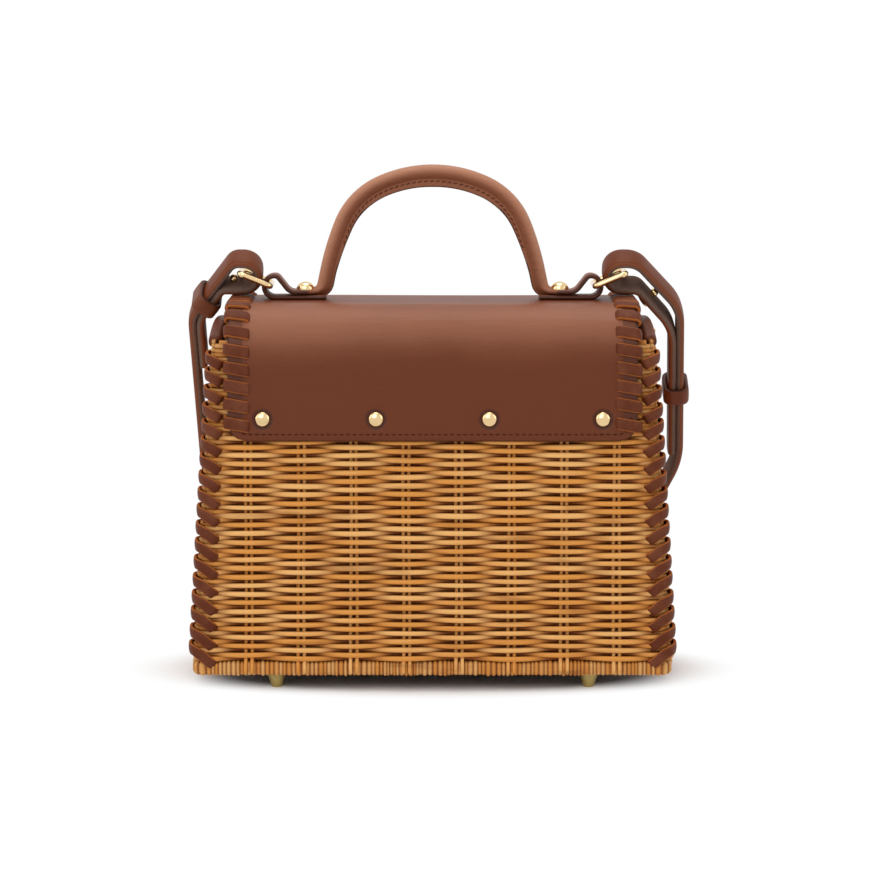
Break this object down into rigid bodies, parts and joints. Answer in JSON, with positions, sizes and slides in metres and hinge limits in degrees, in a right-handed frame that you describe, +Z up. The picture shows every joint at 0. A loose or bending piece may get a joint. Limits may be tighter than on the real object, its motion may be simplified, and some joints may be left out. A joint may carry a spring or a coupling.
{
  "type": "rattan handbag",
  "caption": "Woven rattan handbag with laced leather corners, riveted leather cover, hinged flap, rolled top handle, ring-mounted shoulder strap and brass feet.",
  "frame": {"origin": "middle of the four feet, on the surface that the bag stands on", "axes": "+Z up, +X along the bag's width to the right of its riveted rear side, which faces -Y; the flap opens on the +Y side"},
  "size_m": [0.234, 0.1486, 0.2353],
  "materials": {
    "rattan": "varnished strands",
    "brown_leather": "smooth satin",
    "lacing_leather": "smooth, raw edges",
    "strap_leather": "satin",
    "pale_brass": "polished pale gold",
    "lining_cloth": "plain weave",
    "board": "plain"
  },
  "bodies": {
    "basket": {"rear_wall": "rattan", "front_wall": "rattan", "left_end_wall": "rattan", "right_end_wall": "rattan", "base_rim": "rattan", "base_panel": "board", "lining": "lining_cloth", "left_end_binding": "brown_leather", "right_end_binding": "brown_leather", "corner_lace_left_rear": "lacing_leather", "corner_lace_right_rear": "lacing_leather", "corner_lace_left_front": "lacing_leather", "corner_lace_right_front": "lacing_leather", "cover_panel": "brown_leather", "cover_lace_left": "lacing_leather", "cover_lace_right": "lacing_leather", "cover_rivets": "pale_brass", "handle_rivets": "pale_brass", "wall_snap": "pale_brass", "handle": "brown_leather", "shoulder_strap": "strap_leather", "foot_left_rear": "pale_brass", "foot_left_front": "pale_brass", "foot_right_rear": "pale_brass", "foot_right_front": "pale_brass"},
    "flap": {"flap_panel": "brown_leather", "flap_lace_left": "lacing_leather", "flap_lace_right": "lacing_leather", "flap_snap": "pale_brass"},
    "left_ring": {"ring_left": "pale_brass", "strap_stud_left": "pale_brass"},
    "right_ring": {"ring_right": "pale_brass", "strap_stud_right": "pale_brass"},
    "left_keeper": {"keeper_left": "brown_leather"},
    "right_keeper": {"keeper_right": "brown_leather"}
  },
  "joints": [
    {"name": "flap_hinge", "type": "hinge", "parent": "basket", "child": "flap", "pos_m": [0, 0.0137, 0.1735], "axis": [1, 0, 0], "range_deg": [0, 90]},
    {"name": "left_ring_swing", "type": "hinge", "parent": "basket", "child": "left_ring", "pos_m": [-0.0744, 0, 0.1802], "axis": [0, 1, 0], "range_deg": [0, 55], "deforming": ["shoulder_strap"]},
    {"name": "right_ring_swing", "type": "hinge", "parent": "basket", "child": "right_ring", "pos_m": [0.0744, 0, 0.1802], "axis": [0, -1, 0], "range_deg": [0, 55], "deforming": ["shoulder_strap"]},
    {"name": "left_keeper_slide", "type": "slide", "parent": "left_ring", "child": "left_keeper", "axis": [-0.571, 0.3727, -0.7315], "range_m": [-0.003, 0.001]},
    {"name": "right_keeper_slide", "type": "slide", "parent": "basket", "child": "right_keeper", "axis": [0.0435, 0.4536, -0.8902], "range_m": [-0.02, 0.02]}
  ]
}
